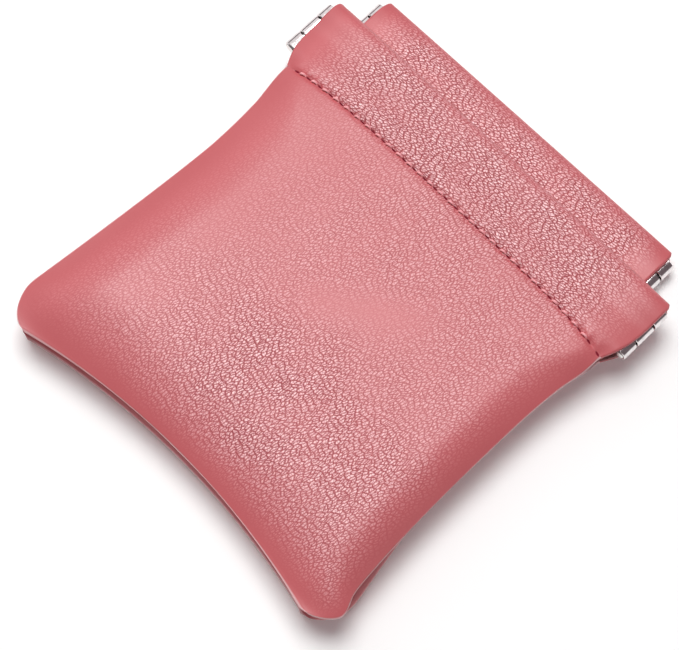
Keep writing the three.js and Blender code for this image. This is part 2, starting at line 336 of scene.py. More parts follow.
# %% Rows and columns of a wall
HALF_COLUMNS = 92
BODY_ROWS = 104
HEM_ROWS = 40
FOLD_ROWS = 22
INNER_ROWS = 8


def crowded(count, share):
    """0 to 1 in count steps, crowded at both ends: a mix of a straight line and a cosine."""
    t = np.linspace(0, 1, count + 1)
    return (1 - share) * t + share * (1 - np.cos(math.pi * t)) / 2


print("rows:", BODY_ROWS + HEM_ROWS + FOLD_ROWS + INNER_ROWS + 1, "columns:", 2 * HALF_COLUMNS + 1)

# %% [markdown]
# The pebbles are pressed into the hide and then worn by hands, so they aren't equally crisp all over:
# faint at the left, deeper towards the bottom and on the hems, and gone in a long patch across the
# middle. One number at each vertex says how crisp they are, worked out from its place.

# %% How crisp the pebbles are
BODY_CRISPNESS = 1.05
HEM_CRISPNESS = 1.08
LEFT_FADE = (-42 * MM, 46 * MM, 0.88)
RIGHT_FADE = (25 * MM, -20 * MM, 0.12)
LOW_FADE = (-6 * MM, -16 * MM, 0.44)
HEM_LEFT_FADE = (-42 * MM, 16 * MM, 1)
HEM_RIGHT_FADE = (40 * MM, -10 * MM, 0.6)
PATCH_SHARE = 0.75
PATCH_X = 6 * MM
PATCH_Y = -2 * MM
PATCH_HALF_LENGTH = 14 * MM
PATCH_HALF_WIDTH = 5 * MM
PATCH_COS, PATCH_SIN = 0.83, 0.55


def fade(place, start, length, share):
    """Grows from 1 - share to 1 as an S-curve from a start over a length. With a negative length it
    grows towards smaller places."""
    return 1 - share + share * smooth((place - start) / length)


def crispness_of_body(x, y):
    """The pebbles of the pocket: faint at the left, crisper low down, and pressed smooth in a long
    patch across the middle, which falls off as a bell curve across and more squarely along."""
    sides = fade(x, *LEFT_FADE) * fade(x, *RIGHT_FADE)
    along = PATCH_COS * (x - PATCH_X) + PATCH_SIN * (y - PATCH_Y)
    across = PATCH_COS * (y - PATCH_Y) - PATCH_SIN * (x - PATCH_X)
    patch = np.exp(-((along / PATCH_HALF_LENGTH) ** 4) - (across / PATCH_HALF_WIDTH) ** 2)
    return BODY_CRISPNESS * sides * fade(y, *LOW_FADE) * (1 - PATCH_SHARE * patch)


def crispness_of_hem(x):
    """The pebbles of a hem: crisper than the pocket's, fainter at the right end and smooth at the left."""
    return HEM_CRISPNESS * fade(x, *HEM_LEFT_FADE) * fade(x, *HEM_RIGHT_FADE)


# %% The grid of a whole wall
INNER_DEPTH = 16.5 * MM
INNER_CLEARANCE = 0.35 * MM
INNER_OPENING = 4 * MM
INNER_FROM_PIN = 2.2 * MM
COLUMN_CROWDING_SHARE = 0.35
BODY_CROWDING_SHARE = 0.6
HEM_CROWDING_SHARE = 0.7
HEM_ROW_POWER = 1.15
ROW_BLEND_SHARE = 0.86
FOLD_POWER = 1.5
SMOOTH_RIM = 10 * MM
SMOOTH_HEM_LEFT = 5 * MM
SMOOTH_HEM_RIGHT = 9 * MM
SMOOTH_FOLD = 5 * MM
FOLD_GRAIN = 0.5 * MM


def wall_grid(wall, seed):
    """Outer surface of a wall as rows of points from the bottom seam to the end of the inner ply."""
    pocket, inset, fold_reach = wall["pocket"], wall["inset"], wall["fold_reach"]
    even = np.linspace(0, 1, HALF_COLUMNS + 1)
    half_share = np.sin(even * math.pi / 2) * COLUMN_CROWDING_SHARE + even * (1 - COLUMN_CROWDING_SHARE)
    across = np.concatenate([-half_share[::-1], half_share[1:]])
    fold_y, bottom_y = pocket["fold_y"], pocket["bottom_y"]
    row_y = fold_y - STITCH_DEPTH - STITCH_ARCH * across**4

    v = crowded(BODY_ROWS, BODY_CROWDING_SHARE)[:, None]
    straight_y = bottom_y + (fold_y - STITCH_DEPTH - bottom_y) * v
    left, right = body_half_width(pocket, straight_y, -1), body_half_width(pocket, straight_y, 1)
    half = np.where(across < 0, left - inset[0], right - inset[1])
    half = half + (pocket["row_half"] - half) * smooth((v - ROW_BLEND_SHARE) / (1 - ROW_BLEND_SHARE))
    body_x = across * half
    sag = pocket["bottom_sag"] * (1 - across**2)
    body_y = straight_y + (sag + inset[2]) * (1 - v) ** 2 - STITCH_ARCH * across**4 * v**4
    from_side = (1 - np.abs(across)) * half
    from_bottom = np.clip(body_y - bottom_y - sag - inset[2], 0, None)
    body_h = body_height(wall, body_x, from_side, from_bottom, np.clip(row_y - body_y, 0, None), seed)

    w = (crowded(HEM_ROWS, HEM_CROWDING_SHARE)[1:] ** HEM_ROW_POWER)[:, None]
    hem_y = row_y + (fold_y - fold_reach - row_y) * w
    hem_half = sleeve_half_width(pocket, (hem_y - row_y) / (fold_y - row_y))
    hem_x = across * hem_half
    hem_side = (1 - np.abs(across)) * hem_half
    hem_h = hem_height(wall, hem_x, hem_side, hem_y - row_y, fold_y - hem_y, seed)

    turn = np.linspace(0, math.pi, FOLD_ROWS + 1)[1:, None]
    outer = turn <= math.pi / 2
    inner_half = pocket["pin_x"] - INNER_FROM_PIN
    radius = (pocket["hem_height"] - pocket["half_gap"]) / 2
    centre = pocket["half_gap"] + radius
    reach = np.where(outer, fold_reach, radius)
    rise = np.where(outer, hem_h[-1:] - centre, radius)
    fold_h = centre + rise * np.cos(turn)
    fold_yy = fold_y - reach + reach * np.sin(turn) + 0 * across
    turned_in = smooth(turn / math.pi) ** FOLD_POWER
    fold_half = pocket["fold_half"] + (inner_half - pocket["fold_half"]) * turned_in
    fold_x = across * fold_half

    back = np.linspace(0, 1, INNER_ROWS + 1)[1:, None]
    inner_x = across * inner_half + 0 * back
    inner_y = fold_y - radius - (INNER_DEPTH - radius) * back + 0 * across
    open_share = smooth((inner_y - row_y) / -INNER_OPENING + 1)
    inner_h = pocket["half_gap"] + INNER_CLEARANCE * open_share + 0 * across

    x = np.concatenate([body_x, hem_x, fold_x, inner_x])
    y = np.concatenate([body_y, hem_y, fold_yy, inner_y])
    height = np.concatenate([body_h, hem_h, fold_h, inner_h])
    x, y = settle(x, y, pocket, pocket["drift"])
    z = pocket["plane"] + wall["up"] * height
    points = np.stack([x, y, z], axis=2)

    step = np.linalg.norm(np.diff(points, axis=0), axis=2)
    along = np.concatenate([np.zeros((1, x.shape[1])), np.cumsum(step, axis=0)])
    along = along - along[BODY_ROWS]
    to_fold = along - along[BODY_ROWS + HEM_ROWS + FOLD_ROWS // 2]
    rows_in_body = np.arange(len(x))[:, None] <= BODY_ROWS
    side = np.concatenate([from_side, hem_side, (1 - np.abs(across)) * fold_half, from_side[:INNER_ROWS]])
    bottom = np.concatenate([from_bottom, np.full((len(x) - len(body_x), x.shape[1]), 1.0)])
    border = np.where(rows_in_body, np.minimum(side, bottom), side)
    smooth_hem = np.where(across > 0, SMOOTH_HEM_RIGHT, SMOOTH_HEM_LEFT)
    inward = smooth(border / np.where(rows_in_body, SMOOTH_RIM, smooth_hem))
    inward = inward * smooth((np.abs(to_fold) + FOLD_GRAIN) / SMOOTH_FOLD)
    crisp = np.where(rows_in_body, crispness_of_body(x, y), crispness_of_hem(x))
    return {"points": points, "along": along, "inward": inward, "pebbles": inward * crisp}


# %% Make the four grids
SEED_STEP = 11
for k, (name, wall) in enumerate(WALLS.items()):
    wall["grid"] = grid = wall_grid(wall, SEED_STEP * (k + 1))
    across_step = np.linalg.norm(np.diff(grid["points"], axis=1), axis=2)
    flat = (np.ptp(grid["along"][:, HALF_COLUMNS]) / MM, across_step.sum(axis=1).max() / MM)
    print(name, "cut flat: %.0f mm long, %.0f mm wide" % flat)

# %% [markdown]
# ## From a surface to leather of real thickness
# The sheet gets its thickness along its own normals, and a rounded cut edge all round. A mouth opens
# by its two half strips, so each wall is made as a left and a right half. They meet exactly in the
# middle and share their normals there, so the joint can't be seen. A narrow tongue of each half
# lies inside the other, and closes the crease when the strips bow.

# %% Meshes from arrays
def unit(vectors):
    """The same vectors at length 1."""
    return vectors / np.maximum(np.linalg.norm(vectors, axis=-1, keepdims=True), 1e-12)


def add_object(name, data):
    """A mesh, lamp or camera as an object in the scene."""
    thing = bpy.data.objects.new(name, data)
    bpy.context.scene.collection.objects.link(thing)
    return thing


def new_mesh(name, vertices, faces, normals=None):
    """A mesh object at the origin from arrays, smooth, with its own vertex normals if given."""
    mesh = bpy.data.meshes.new(name)
    mesh.from_pydata(vertices.tolist(), [], faces.tolist() if isinstance(faces, np.ndarray) else faces)
    mesh.polygons.foreach_set("use_smooth", np.ones(len(mesh.polygons), bool))
    mesh.update()
    if normals is not None:
        mesh.normals_split_custom_set_from_vertices(np.asarray(normals).tolist())
    return add_object(name, mesh)


def set_attribute(piece, name, values):
    """Stores one number or one vector for each vertex."""
    kind = "FLOAT_VECTOR" if values.ndim == 2 else "FLOAT"
    layer = piece.data.attributes.new(name, kind, "POINT")
    layer.data.foreach_set("vector" if values.ndim == 2 else "value", values.astype(np.float32).ravel())


# %% Build half a wall
BEND_START = 10 * MM
BEND_STRIPS = math.radians(18)
BEND_MARGIN = 1.5 * MM
TONGUE_REACH = 0.05 * MM
TONGUE_SINK = 0.04 * MM
TONGUE_START_SHARE = 0.6
EDGE_BULGE_SHARE = 0.3
EDGE_TILT_SHARE = 0.7
PALE_HEM_SHARE = 0.3
ROW_TOLERANCE = 0.3 * MM


def surface_normals(points):
    """Unit normals of a grid: the cross product of its differences across and along."""
    across = np.gradient(points, axis=1)
    along = np.gradient(points, axis=0)
    return unit(np.cross(across, along))


def boundary_loop(rows, columns):
    """Row and column numbers once round the rim of a grid, anticlockwise."""
    r = np.concatenate([
        np.zeros(columns - 1, int), np.arange(rows - 1),
        np.full(columns - 1, rows - 1), np.arange(rows - 1, 0, -1),
    ])
    c = np.concatenate([
        np.arange(columns - 1), np.full(rows - 1, columns - 1),
        np.arange(columns - 1, 0, -1), np.zeros(rows - 1, int),
    ])
    return r, c


def shell_faces(rows, columns, flip):
    """Quads of a closed shell: the grain grid, the flesh grid turned over, and two bands round the rim."""
    number = np.arange(rows * columns).reshape(rows, columns)
    a, b = number[:-1, :-1].ravel(), number[:-1, 1:].ravel()
    c, d = number[1:, 1:].ravel(), number[1:, :-1].ravel()
    size = rows * columns
    grain = np.stack([a, b, c, d], 1)
    flesh = np.stack([d, c, b, a], 1) + size
    r, k = boundary_loop(rows, columns)
    edge = number[r, k]
    rim = 2 * size + np.arange(len(edge))
    edge_next, rim_next = np.roll(edge, -1), np.roll(rim, -1)
    upper_band = np.stack([edge_next, edge, rim, rim_next], 1)
    lower_band = np.stack([edge + size, edge_next + size, rim_next, rim], 1)
    faces = np.concatenate([grain, flesh, upper_band, lower_band])
    return faces[:, ::-1] if flip else faces


def with_tongue(field, sign, shift=None):
    """Adds two columns past the middle to a half grid: the middle column's values, moved by a shift."""
    middle = field[:, -1:] if sign < 0 else field[:, :1]
    extra = [middle if shift is None else middle + shift * k for k in (0.5, 1.0)]
    return np.concatenate([field, *extra] if sign < 0 else [*extra[::-1], field], axis=1)


def bend_span(pocket):
    """A span along y, from above the bottom seam to below the stitches; the tongue widens over its upper
    part.
    """
    return pocket["bottom_y"] + BEND_START, pocket["fold_y"] - STITCH_DEPTH - BEND_MARGIN


def build_half(name, wall, side, sign):
    """One half of a wall: grain side, flesh side and cut edge, with the tongue past the middle."""
    pocket, up, grid = wall["pocket"], wall["up"], wall["grid"]
    columns = slice(0, HALF_COLUMNS + 1) if sign < 0 else slice(HALF_COLUMNS, None)
    normal_full = surface_normals(grid["points"]) * up
    flesh_full = grid["points"] - LEATHER * normal_full
    height = np.abs(grid["points"][:, HALF_COLUMNS, 2] - pocket["plane"])
    start, end = bend_span(pocket)
    bend = smooth((grid["points"][:, HALF_COLUMNS, 1] - start) / (end - start))
    opened = smooth((bend - TONGUE_START_SHARE) / (1 - TONGUE_START_SHARE))
    reach = TONGUE_REACH + math.tan(BEND_STRIPS) * height * opened
    shift = np.zeros((len(height), 1, 3))
    shift[:, 0, 0] = -sign * reach
    sink = TONGUE_SINK * normal_full[:, HALF_COLUMNS:HALF_COLUMNS + 1]
    grain = with_tongue(grid["points"][:, columns], sign, shift - sink)
    flesh = with_tongue(flesh_full[:, columns], sign, shift + sink)
    normal, along, inward, pebbles = (
        with_tongue(field[:, columns], sign)
        for field in (normal_full, grid["along"], grid["inward"], grid["pebbles"])
    )

    rows, count = along.shape
    r, c = boundary_loop(rows, count)
    cut_column = count - 1 if sign < 0 else 0
    real = (c != cut_column).astype(float)[:, None]
    centre = (grain + flesh) / 2
    inner = centre[np.clip(r, 1, rows - 2), np.clip(c, 1, count - 2)]
    outward = unit(centre[r, c] - inner)
    rim = centre[r, c] + outward * real * EDGE_BULGE_SHARE * LEATHER

    vertices = np.concatenate([grain.reshape(-1, 3), flesh.reshape(-1, 3), rim])
    normals = np.concatenate([normal.reshape(-1, 3), -normal.reshape(-1, 3), outward])
    edge = r * count + c
    for both in (edge, edge + rows * count):
        normals[both] = unit(normals[both] + EDGE_TILT_SHARE * outward * real)
    piece = new_mesh(f"{name}_leather_{side}", vertices, shell_faces(rows, count, up < 0), normals)

    size = rows * count
    place = np.stack([grain[..., 0], along, np.zeros_like(along)], axis=2).reshape(-1, 3)
    # Paleness of the cut edge, partly its own colour and partly a painted highlight where the rim catches
    # the light: full on the pocket, weaker on the hem.
    cut = np.zeros(len(vertices))
    on_body = along[r, c] < ROW_TOLERANCE
    pale = real[:, 0] * np.where(on_body, 1, PALE_HEM_SHARE)
    cut[edge] = cut[edge + size] = cut[2 * size:] = pale
    for label, values in (("hide", place), ("inward", inward.ravel()), ("pebbles", pebbles.ravel())):
        set_attribute(piece, label, np.concatenate([values, values, values[edge]]))
    set_attribute(piece, "cut_edge", cut)
    set_attribute(piece, "flesh", np.concatenate([np.zeros(size), np.ones(size), np.full(len(edge), 0.5)]))
    return piece


# %% Make the leather
SIDES = {"left": -1, "right": 1}


def both_halves(build):
    """The pieces that a function builds for the left and the right half of each wall."""
    return {
        (name, side): build(name, wall, side, sign)
        for name, wall in WALLS.items()
        for side, sign in SIDES.items()
    }


leather_pieces = both_halves(build_half)
print("triangles in one half wall:", 2 * len(leather_pieces["front_wall", "left"].data.polygons))

# %% [markdown]
# ## Stitches
# The hem is closed by one row of lock stitches. Each stitch is a short length of thread that comes
# out of one needle hole, lies in the groove and goes down the next, a little askew because the
# thread is twisted. It is a tube along an arch, one for each stitch.

# %% Build a row of stitches
THREAD_RADIUS = 0.24 * MM
STITCH_LENGTH = 1.85 * MM
STITCH_RISE = 0.6 * MM
STITCH_TURN = math.radians(9)
STITCH_SINK_SHARE = 1.7
STITCH_SINK_POWER = 2.4
TAPER_POWER = 6
TAPER_END_SHARE = 0.05
TANGENT_STEP = 0.8 * MM
THREAD_RINGS = 9
THREAD_SIDES = 8


def stitch_tube(centre, direction, up):
    """A tube along an arch over the groove. Its height falls from the middle by a power of the
    distance, and its radius is the root of one less a high power, so it shrinks at both ends."""
    t = np.linspace(-1, 1, THREAD_RINGS)[:, None]
    angle = np.linspace(0, 2 * math.pi, THREAD_SIDES, endpoint=False)[None, :]
    lift = STITCH_RISE * (1 - np.abs(t) ** STITCH_SINK_POWER * STITCH_SINK_SHARE) + 0 * angle
    radius = THREAD_RADIUS * np.sqrt(np.clip(1 - np.abs(t) ** TAPER_POWER, TAPER_END_SHARE, 1))
    sideways = unit(np.cross([0, 0, up], direction))
    over = np.cross(direction, sideways)
    points = (
        np.array(centre)
        + direction * (t * STITCH_LENGTH / 2 + 0 * angle)[..., None]
        + sideways * (radius * np.cos(angle))[..., None]
        + over * (lift + radius * np.sin(angle))[..., None]
    )
    return points.reshape(-1, 3), t + 0 * angle, angle + 0 * t


def tube_faces(rings, sides, offset):
    """Quads round a tube, and one flat face over each end."""
    number = np.arange(rings * sides).reshape(rings, sides) + offset
    turned = np.roll(number, -1, axis=1)
    quads = np.stack([number[:-1], turned[:-1], turned[1:], number[1:]], axis=2).reshape(-1, 4)
    return [list(q) for q in quads] + [list(number[0][::-1]), list(number[-1])]


def build_stitches(name, wall, side, sign):
    """The stitches of half a row, in one mesh."""
    line = wall["grid"]["points"][BODY_ROWS]
    half = abs(line[0, 0])
    count = int(half / PITCH)
    vertices, faces, twist = [], [], []
    for k in range(count):
        x = sign * (k + 0.5) * PITCH + np.array([-1, 0, 1]) * TANGENT_STEP
        x = np.clip(x, line[0, 0], line[-1, 0])
        y, z = np.interp(x, line[:, 0], line[:, 1]), np.interp(x, line[:, 0], line[:, 2])
        before, centre, after = np.stack([x, y, z], 1)
        along = unit(after - before)
        askew = np.array([-along[1], along[0], 0]) * math.tan(STITCH_TURN)
        points, t, angle = stitch_tube(centre, unit(along + askew), wall["up"])
        faces += tube_faces(THREAD_RINGS, THREAD_SIDES, len(vertices) * THREAD_RINGS * THREAD_SIDES)
        vertices.append(points)
        strand = [t.ravel() * STITCH_LENGTH / 2, angle.ravel() * THREAD_RADIUS, np.full(t.size, x[1])]
        twist.append(np.stack(strand, 1))
    piece = new_mesh(f"{name}_thread_{side}", np.concatenate(vertices), faces)
    set_attribute(piece, "strand", np.concatenate(twist))
    return piece


thread_pieces = both_halves(build_stitches)
front_row = WALLS["front_wall"]["grid"]["points"][BODY_ROWS]
print("stitches in the front row:", 2 * int(abs(front_row[0, 0]) / PITCH))

# %% [markdown]
# ## Spring strips and pins
# A strip is punched from sheet steel and its end is rolled round the hinge pin. In cross-section it
# is one band: straight, then most of the way round. Carried along the pin it makes a knuckle, with
# a small bevel at each end. Every strip has two knuckles on one side and one on the other, and the
# lower strip of a pair lies the other way round, so that its knuckles fit between the upper one's.

# %% Build the strips
STRIP_THICKNESS = 0.4 * MM
KNUCKLE_RADIUS = 1.6 * MM
KNUCKLE_BEVEL = 0.12 * MM
KNUCKLE_LENGTH = 3.4 * MM
KNUCKLE_GAP = 0.4 * MM
LEAD_LENGTH = 0.7 * MM
PLATE_CLEARANCE = 0.3 * MM
ROLL_STEPS = 44
ROLL_TURN = math.radians(-300)
STRIP_CORNER = math.radians(32)


def rolled_band():
    """Profile in (x, z) about the pin: along the strip's outer face and round by an arc, then back
    along its inner face; and the band's middle line, point for point."""
    angle = np.linspace(math.pi / 2, math.pi / 2 + ROLL_TURN, ROLL_STEPS)
    start = -KNUCKLE_RADIUS - LEAD_LENGTH
    bore = KNUCKLE_RADIUS - STRIP_THICKNESS
    circle = np.stack([np.cos(angle), np.sin(angle)], 1)
    outer, inner = (np.concatenate([[[start, r]], circle * r]) for r in (KNUCKLE_RADIUS, bore))
    middle = (outer + inner) / 2
    return np.concatenate([outer, inner[::-1]]), np.concatenate([middle, middle[::-1]])


def swept_band(loop, middle, low_y, high_y):
    """The band carried along y, drawn in towards its middle line at both ends."""
    stations = [(low_y, 1), (low_y + KNUCKLE_BEVEL, 0), (high_y - KNUCKLE_BEVEL, 0), (high_y, 1)]
    rings = []
    for y, drawn in stations:
        share = drawn * KNUCKLE_BEVEL / (STRIP_THICKNESS / 2)
        flat = loop + (middle - loop) * share
        rings.append(np.stack([flat[:, 0], np.full(len(flat), y), flat[:, 1]], 1))
    return np.stack(rings)


def band_faces(rings, count):
    """Quads between the rings, and quads across the band at both ends."""
    number = np.arange(rings * count).reshape(rings, count)
    turned = np.roll(number, -1, axis=1)
    walls = np.stack([number[:-1], number[1:], turned[1:], turned[:-1]], axis=2).reshape(-1, 4)
    k = np.arange(count // 2 - 1)
    low, high = (
        np.stack([ring[k], ring[k + 1], ring[count - 2 - k], ring[count - 1 - k]], 1)
        for ring in (number[0], number[-1])
    )
    return np.concatenate([walls, low, high[:, ::-1]])


def plate_box(x_start, x_end, low_y, high_y):
    """Corners of the flat strip, from beside the mouth's middle to the knuckles, as a small grid."""
    x, y = np.array([x_start, x_end]), np.array([low_y, high_y])
    z = np.array([KNUCKLE_RADIUS - STRIP_THICKNESS, KNUCKLE_RADIUS])
    corners = [(a, b, c) for c in z for b in y for a in x]
    faces = [(0, 2, 3, 1), (4, 5, 7, 6), (0, 1, 5, 4), (2, 6, 7, 3), (0, 4, 6, 2), (1, 3, 7, 5)]
    return np.array(corners), np.array(faces)


def build_strip(name, wall, side, sign):
    """A flat strip half with its rolled knuckles, made for the right side and mirrored for the left."""
    pocket, up = wall["pocket"], wall["up"]
    low, high = pocket["pin_low_y"], pocket["pin_high_y"]
    if up * sign == pocket["pair_side"]:
        spans = [(low, low + KNUCKLE_LENGTH), (high - KNUCKLE_LENGTH, high)]
    else:
        spans = [(low + KNUCKLE_LENGTH + KNUCKLE_GAP, high - KNUCKLE_LENGTH - KNUCKLE_GAP)]
    loop, middle = rolled_band()
    plate_end = -KNUCKLE_RADIUS - PLATE_CLEARANCE
    corners, plate = plate_box(pocket["lip_start"] - pocket["pin_x"], plate_end, low, high)
    vertices, faces, offset = [corners], [plate], len(corners)
    for span in spans:
        rings = swept_band(loop, middle, *span)
        vertices.append(rings.reshape(-1, 3))
        faces.append(band_faces(len(rings), len(loop)) + offset)
        offset += rings.shape[0] * rings.shape[1]
    points = np.concatenate(vertices)
    x, y = settle(sign * (points[:, 0] + pocket["pin_x"]), points[:, 1], pocket, pocket["steel_drift"])
    points = np.stack([x, y, pocket["plane"] + up * points[:, 2]], 1)
    all_faces = np.concatenate(faces)
    if sign * up < 0:
        all_faces = all_faces[:, ::-1]
    piece = new_mesh(f"{name}_steel_{side}", points, all_faces)
    piece.data.set_sharp_from_angle(angle=STRIP_CORNER)
    return piece


steel_pieces = both_halves(build_strip)
print("steel strips:", len(steel_pieces))

# %% [markdown]
# The pin is a rivet: a straight shank with a low domed head at each end, so it is a profile turned
# about its own axis, closed at both poles.

# %% Build the pins
PIN_SHANK = 0.95 * MM
PIN_HEAD = 1.15 * MM
PIN_HEAD_HEIGHT = 0.35 * MM
PIN_SIDES = 36
PIN_CORNER = math.radians(40)
DOME_STEPS = 6
DOME_POLE = 0.02


def build_pin(name, pocket, sign):
    """Radius along the axis: a dome, a straight shank, and the same dome again."""
    dome = np.linspace(DOME_POLE, math.pi / 2, DOME_STEPS)
    rise, wide = PIN_HEAD_HEIGHT * np.cos(dome), PIN_HEAD * np.sin(dome)
    low, high = pocket["pin_low_y"], pocket["pin_high_y"]
    y = np.concatenate([low - rise, [low, high], high + rise[::-1]])
    radius = np.concatenate([wide, [PIN_SHANK, PIN_SHANK], wide[::-1]])
    angle = np.linspace(0, 2 * math.pi, PIN_SIDES, endpoint=False)
    x = sign * pocket["pin_x"] + radius[:, None] * np.cos(angle)
    z = pocket["plane"] + radius[:, None] * np.sin(angle)
    x, y = settle(x, y[:, None] + 0 * x, pocket, pocket["steel_drift"])
    points = np.stack([x, y, z], axis=2).reshape(-1, 3)
    faces = [f[::-1] for f in tube_faces(len(y), PIN_SIDES, 0)]
    piece = new_mesh(name, points, faces)
    piece.data.set_sharp_from_angle(angle=PIN_CORNER)
    return piece


pin_pieces = {}
for label, pocket in (("front", front), ("rear", rear)):
    for side, sign in SIDES.items():
        pin_pieces[label, side] = build_pin(f"{label}_rivet_{side}", pocket, sign)
print("pins:", len(pin_pieces))

# %% [markdown]
# ## Finishes
# Pebbled leather has small rounded cells with fine creases between them, and longer wrinkles that
# run through them. They are pressed in, so they fade out where the hide is pulled round an edge or a
# fold. The same pattern dents the surface, paints shade into its creases and paints a pale sheen on
# its tops. It is worked out on the flat hide, which each vertex carries with it. Every finish is a
# small tree of shader nodes, and a few helpers keep such a tree as short to read as a sum.


# %% Helpers for node trees
def feed(tree, node, inputs):
    """Feeds a node's inputs with values or with other sockets."""
    for key, value in inputs.items():
        if isinstance(value, bpy.types.NodeSocket):
            tree.links.new(value, node.inputs[key])
        else:
            node.inputs[key].default_value = value


def add_node(tree, kind, inputs=None, **settings):
    """Adds a node, sets its options, and feeds its inputs."""
    node = tree.nodes.new(kind)
    for key, value in settings.items():
        setattr(node, key, value)
    feed(tree, node, inputs or {})
    return node


def new_group(name, inputs, outputs):
    """An empty shader node group: numbers in, each with a default, or a vector where the default is
    None, and numbers out."""
    tree = bpy.data.node_groups.new(name, "ShaderNodeTree")
    for label, default in inputs.items():
        kind = "NodeSocketVector" if default is None else "NodeSocketFloat"
        socket = tree.interface.new_socket(label, in_out="INPUT", socket_type=kind)
        if default is not None:
            socket.default_value = default
    for label in outputs:
        tree.interface.new_socket(label, in_out="OUTPUT", socket_type="NodeSocketFloat")
    return tree, tree.nodes.new("NodeGroupInput"), tree.nodes.new("NodeGroupOutput")


def math_node(tree, operation, a, b=0.0, c=0.0, clamp=False):
    """One math node; gives its output socket."""
    node = add_node(tree, "ShaderNodeMath", {0: a, 1: b, 2: c}, operation=operation, use_clamp=clamp)
    return node.outputs[0]


def times(tree, a, b, clamp=False):
    """The product of two values."""
    return math_node(tree, "MULTIPLY", a, b, clamp=clamp)


def vector_math(tree, operation, inputs):
    """One vector math node; gives its vector."""
    return add_node(tree, "ShaderNodeVectorMath", inputs, operation=operation).outputs[0]


def ramp_between(tree, value, low, high, to_low=0.0, to_high=1.0):
    """Turns value from low..high into to_low..to_high with soft ends."""
    node = add_node(
        tree, "ShaderNodeMapRange",
        {"Value": value, "From Min": low, "From Max": high, "To Min": to_low, "To Max": to_high},
        interpolation_type="SMOOTHSTEP",
    )
    return node.outputs["Result"]


def soft_noise(tree, place, scale, detail=2.0):
    """Soft noise at a place, as a share from 0 to 1."""
    inputs = {"Vector": place, "Scale": scale, "Detail": detail}
    return add_node(tree, "ShaderNodeTexNoise", inputs).outputs["Fac"]


def cell_edges(tree, place, scale):
    """Distance to the nearest edge in a flat pattern of cells."""
    node = add_node(
        tree, "ShaderNodeTexVoronoi", {"Vector": place, "Scale": scale},
        voronoi_dimensions="2D", feature="DISTANCE_TO_EDGE",
    )
    return node.outputs["Distance"]


# %% The pebbled hide
PEBBLE_DRIFT = 0.5
WRINKLE_STRETCH_SHARES = (0.42, 1.05, 1)
PEBBLE_CREASE = 0.4
WRINKLE_CREASE = 0.75
WRINKLE_SWELL = 0.5
FINE_GRAIN = 0.12


def pebbled_hide():
    """Group: place on the hide in millimetres, cell size, turn in radians and strength in; height,
    creases (painted shade in the colour, and rougher leather), top sheen (a pale painted highlight on
    the pebble tops) and broad mottling out. Small cells and long ones, squeezed from the same pattern,
    lie over each other, a little moved about by noise."""
    tree, source, result = new_group(
        "pebbled hide",
        {"Place": None, "Cell size": 0.7, "Flow": 0.0, "Strength": 1.0},
        ["Height", "Creases", "Top sheen", "Mottling"],
    )
    place, strength = source.outputs["Place"], source.outputs["Strength"]
    noise = add_node(tree, "ShaderNodeTexNoise", {"Vector": place, "Scale": 0.55, "Detail": 2.0})
    centred = vector_math(tree, "SUBTRACT", {0: noise.outputs["Color"], 1: (0.5, 0.5, 0.5)})
    drift = vector_math(tree, "SCALE", {0: centred, "Scale": PEBBLE_DRIFT})
    moved = vector_math(tree, "ADD", {0: place, 1: drift})
    turned = add_node(
        tree, "ShaderNodeVectorRotate",
        {"Vector": moved, "Angle": times(tree, source.outputs["Flow"], -1.0)}, rotation_type="Z_AXIS",
    ).outputs[0]
    stretched = vector_math(tree, "MULTIPLY", {0: turned, 1: WRINKLE_STRETCH_SHARES})
    scale = math_node(tree, "DIVIDE", 1.0, source.outputs["Cell size"])
    edge, wrinkle = cell_edges(tree, turned, scale), cell_edges(tree, stretched, scale)
    dome = add_node(
        tree, "ShaderNodeTexVoronoi", {"Vector": turned, "Scale": scale, "Smoothness": 0.5},
        voronoi_dimensions="2D", feature="SMOOTH_F1",
    ).outputs["Distance"]

    # Creases: dents, rougher leather, and painted shade in the leather's colour.
    small_crease = ramp_between(tree, edge, 0.0, 0.2, PEBBLE_CREASE, 0.0)
    long_crease = ramp_between(tree, wrinkle, 0.0, 0.18, WRINKLE_CREASE, 0.0)
    crease = math_node(tree, "ADD", small_crease, long_crease, clamp=True)
    height = math_node(tree, "SUBTRACT", ramp_between(tree, dome, 0.05, 0.6, 1.0, 0.0), crease)
    height = math_node(tree, "MULTIPLY_ADD", soft_noise(tree, place, 3.2), FINE_GRAIN, height)
    height = math_node(tree, "MULTIPLY_ADD", ramp_between(tree, wrinkle, 0.0, 0.4), WRINKLE_SWELL, height)
    # The tops of cells and wrinkles: a mask for the pale painted sheen on the pebbles.
    small_top = ramp_between(tree, edge, 0.02, 0.28, 0.4, 1.0)
    long_top = ramp_between(tree, wrinkle, 0.05, 0.30)
    feed(tree, result, {
        "Height": times(tree, height, strength),
        "Creases": times(tree, crease, strength),
        "Top sheen": times(tree, times(tree, small_top, long_top), strength),
        "Mottling": soft_noise(tree, place, 0.07),
    })
    return tree


pebbles_group = pebbled_hide()
print("group:", pebbles_group.name, [s.name for s in pebbles_group.interface.items_tree])

# %% [markdown]
# A needle hole is a short slit at each end of a stitch, painted dark as the shade inside it. The
# holes lie on the row of stitches, where the place along the sheet is zero, one for each step of the
# pitch.


# %% Needle holes
HOLE_HALF_LENGTH = 0.62
HOLE_HALF_WIDTH = 0.27


